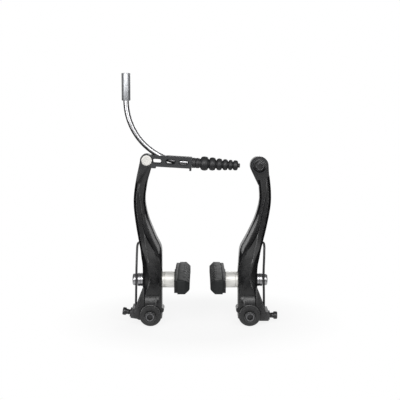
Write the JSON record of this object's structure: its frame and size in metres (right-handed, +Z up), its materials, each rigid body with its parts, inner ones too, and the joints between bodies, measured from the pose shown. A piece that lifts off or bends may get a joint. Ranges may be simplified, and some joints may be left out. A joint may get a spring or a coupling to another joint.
{
  "type": "v-brake",
  "caption": "Linear-pull bicycle rim brake: two sprung pivoting arms with pads, and a hinged link with curved cable lead and rubber bellows.",
  "frame": {"origin": "midway between the two pivot axes, on the plane of the frame posts' shoulders", "axes": "+X across the wheel towards the cable anchor's arm, +Y towards the frame and along the fixing bolts, +Z up"},
  "size_m": [0.1084, 0.071, 0.1739],
  "materials": {
    "arm_paint": "satin",
    "bush_metal": "satin",
    "black_steel": "satin",
    "holder_plastic": "matte",
    "bright_steel": "polished",
    "plain_steel": "satin",
    "spring_steel": "satin",
    "washer_alloy": "satin",
    "carrier": "matte",
    "pad_rubber": "matte",
    "link_metal": "satin",
    "pin_metal": "satin",
    "lead_chrome": "polished",
    "ferrule_alloy": "satin",
    "liner_plastic": "satin",
    "boot_rubber": "matte"
  },
  "bodies": {
    "frame_side": {"left_bush": "bush_metal", "left_pivot_washer": "black_steel", "left_fixing_bolt": "black_steel", "left_spring_holder": "holder_plastic", "left_stop_pin": "plain_steel", "left_spring": "spring_steel", "right_bush": "bush_metal", "right_pivot_washer": "black_steel", "right_fixing_bolt": "black_steel", "right_spring_holder": "holder_plastic", "right_stop_pin": "plain_steel", "right_spring": "spring_steel"},
    "left_swing": {"left_arm": "arm_paint", "left_pad_carrier": "carrier", "left_pad_rubber": "pad_rubber", "left_inner_ball_washer": "washer_alloy", "left_spacer_washer": "washer_alloy", "left_outer_ball_washer": "plain_steel", "left_cup_washer": "bright_steel", "left_pad_nut": "bright_steel", "link_pin": "pin_metal"},
    "right_swing": {"right_arm": "arm_paint", "right_pad_carrier": "carrier", "right_pad_rubber": "pad_rubber", "right_inner_ball_washer": "washer_alloy", "right_spacer_washer": "washer_alloy", "right_outer_ball_washer": "plain_steel", "right_cup_washer": "bright_steel", "right_pad_nut": "bright_steel", "cable_clamp_plate": "black_steel", "cable_anchor_bolt": "black_steel"},
    "link_body": {"link": "link_metal"},
    "cable_lead": {"lead_pipe": "lead_chrome", "lead_liner": "liner_plastic", "casing_ferrule": "ferrule_alloy", "boot": "boot_rubber"},
    "left_adjuster": {"left_tension_screw": "black_steel"},
    "right_adjuster": {"right_tension_screw": "black_steel"}
  },
  "joints": [
    {"name": "left_arm_pivot", "type": "hinge", "parent": "frame_side", "child": "left_swing", "pos_m": [-0.0343, -0.013, 0], "axis": [0, 1, 0], "range_deg": [-22, 9], "stiffness_Nm_per_rad": 1.5, "deforming": ["left_spring", "boot"]},
    {"name": "right_arm_pivot", "type": "hinge", "parent": "frame_side", "child": "right_swing", "pos_m": [0.0343, -0.013, 0], "axis": [0, -1, 0], "range_deg": [-22, 9], "stiffness_Nm_per_rad": 1.5, "deforming": ["right_spring", "boot"]},
    {"name": "link_hinge", "type": "hinge", "parent": "left_swing", "child": "link_body", "pos_m": [-0.0363, -0.0178, 0.107], "axis": [0, 1, 0], "range_deg": [-70, 8]},
    {"name": "lead_swivel", "type": "hinge", "parent": "link_body", "child": "cable_lead", "pos_m": [-0.0363, -0.0178, 0.107], "axis": [0.9982, 0, -0.0593], "range_deg": [-4, 4]},
    {"name": "left_tension_turn", "type": "hinge", "parent": "frame_side", "child": "left_adjuster", "pos_m": [-0.03458, -0.0142, -0.00178], "axis": [-0.9877, 0, 0.1564], "continuous": true},
    {"name": "right_tension_turn", "type": "hinge", "parent": "frame_side", "child": "right_adjuster", "pos_m": [0.0343, -0.0142, -0.0018], "axis": [1, 0, 0], "continuous": true}
  ]
}
